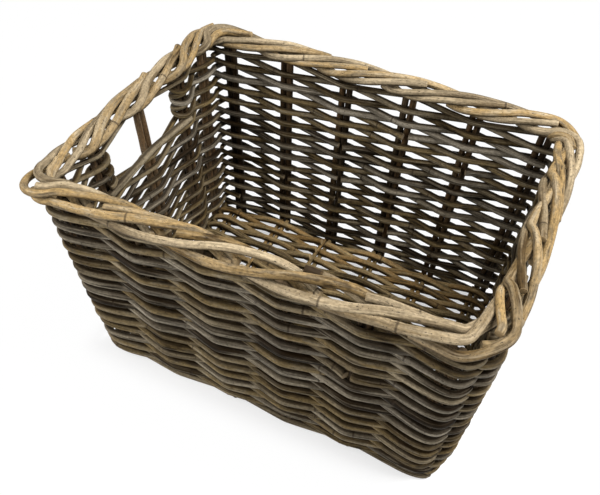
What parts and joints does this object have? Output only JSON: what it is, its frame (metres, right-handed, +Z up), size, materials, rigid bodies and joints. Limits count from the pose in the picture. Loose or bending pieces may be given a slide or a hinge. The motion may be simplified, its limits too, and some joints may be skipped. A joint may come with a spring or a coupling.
{
  "type": "storage basket",
  "caption": "Rectangular woven rattan storage basket with leaning walls, paired stakes, a plaited border and a hand hole in each end wall.",
  "frame": {"origin": "on the floor, under the middle of the basket", "axes": "+X along the length towards the right end wall, +Y towards the back wall, +Z up"},
  "size_m": [0.44, 0.33, 0.25],
  "materials": {
    "stake_rattan": "weathered dark brown rattan, bare",
    "weaver_rattan": "weathered grey-brown rattan, bare",
    "base_rattan": "warm brown rattan, bare",
    "border_rattan": "pale tan rattan, bare"
  },
  "bodies": {
    "root": {"base_stick_1": "base_rattan", "base_stick_2": "base_rattan", "base_stick_3": "base_rattan", "base_stick_4": "base_rattan", "base_stick_5": "base_rattan", "base_stick_6": "base_rattan", "base_weaver": "base_rattan", "border_rod_01": "border_rattan", "border_rod_02": "border_rattan", "border_rod_03": "border_rattan", "border_rod_04": "border_rattan", "border_rod_05": "border_rattan", "border_rod_06": "border_rattan", "border_rod_07": "border_rattan", "border_rod_08": "border_rattan", "border_rod_09": "border_rattan", "border_rod_10": "border_rattan", "border_rod_11": "border_rattan", "border_rod_12": "border_rattan", "border_rod_13": "border_rattan", "border_rod_14": "border_rattan", "border_rod_15": "border_rattan", "border_rod_16": "border_rattan", "border_rod_17": "border_rattan", "border_rod_18": "border_rattan", "border_rod_19": "border_rattan", "border_rod_20": "border_rattan", "border_rod_21": "border_rattan", "border_rod_22": "border_rattan", "handle_weaver_back": "weaver_rattan", "handle_weaver_front": "weaver_rattan", "rim_weaver": "weaver_rattan", "stake_back_1": "stake_rattan", "stake_back_2": "stake_rattan", "stake_back_3": "stake_rattan", "stake_back_4": "stake_rattan", "stake_back_5": "stake_rattan", "stake_back_6": "stake_rattan", "stake_front_1": "stake_rattan", "stake_front_2": "stake_rattan", "stake_front_3": "stake_rattan", "stake_front_4": "stake_rattan", "stake_front_5": "stake_rattan", "stake_front_6": "stake_rattan", "stake_left_1": "stake_rattan", "stake_left_2": "stake_rattan", "stake_left_3": "stake_rattan", "stake_left_4": "stake_rattan", "stake_left_5": "stake_rattan", "stake_right_1": "stake_rattan", "stake_right_2": "stake_rattan", "stake_right_3": "stake_rattan", "stake_right_4": "stake_rattan", "stake_right_5": "stake_rattan", "wall_weaver_1a": "weaver_rattan", "wall_weaver_1b": "weaver_rattan", "wall_weaver_2a": "weaver_rattan", "wall_weaver_2b": "weaver_rattan", "wall_weaver_3a": "weaver_rattan", "wall_weaver_3b": "weaver_rattan"}
  },
  "joints": []
}
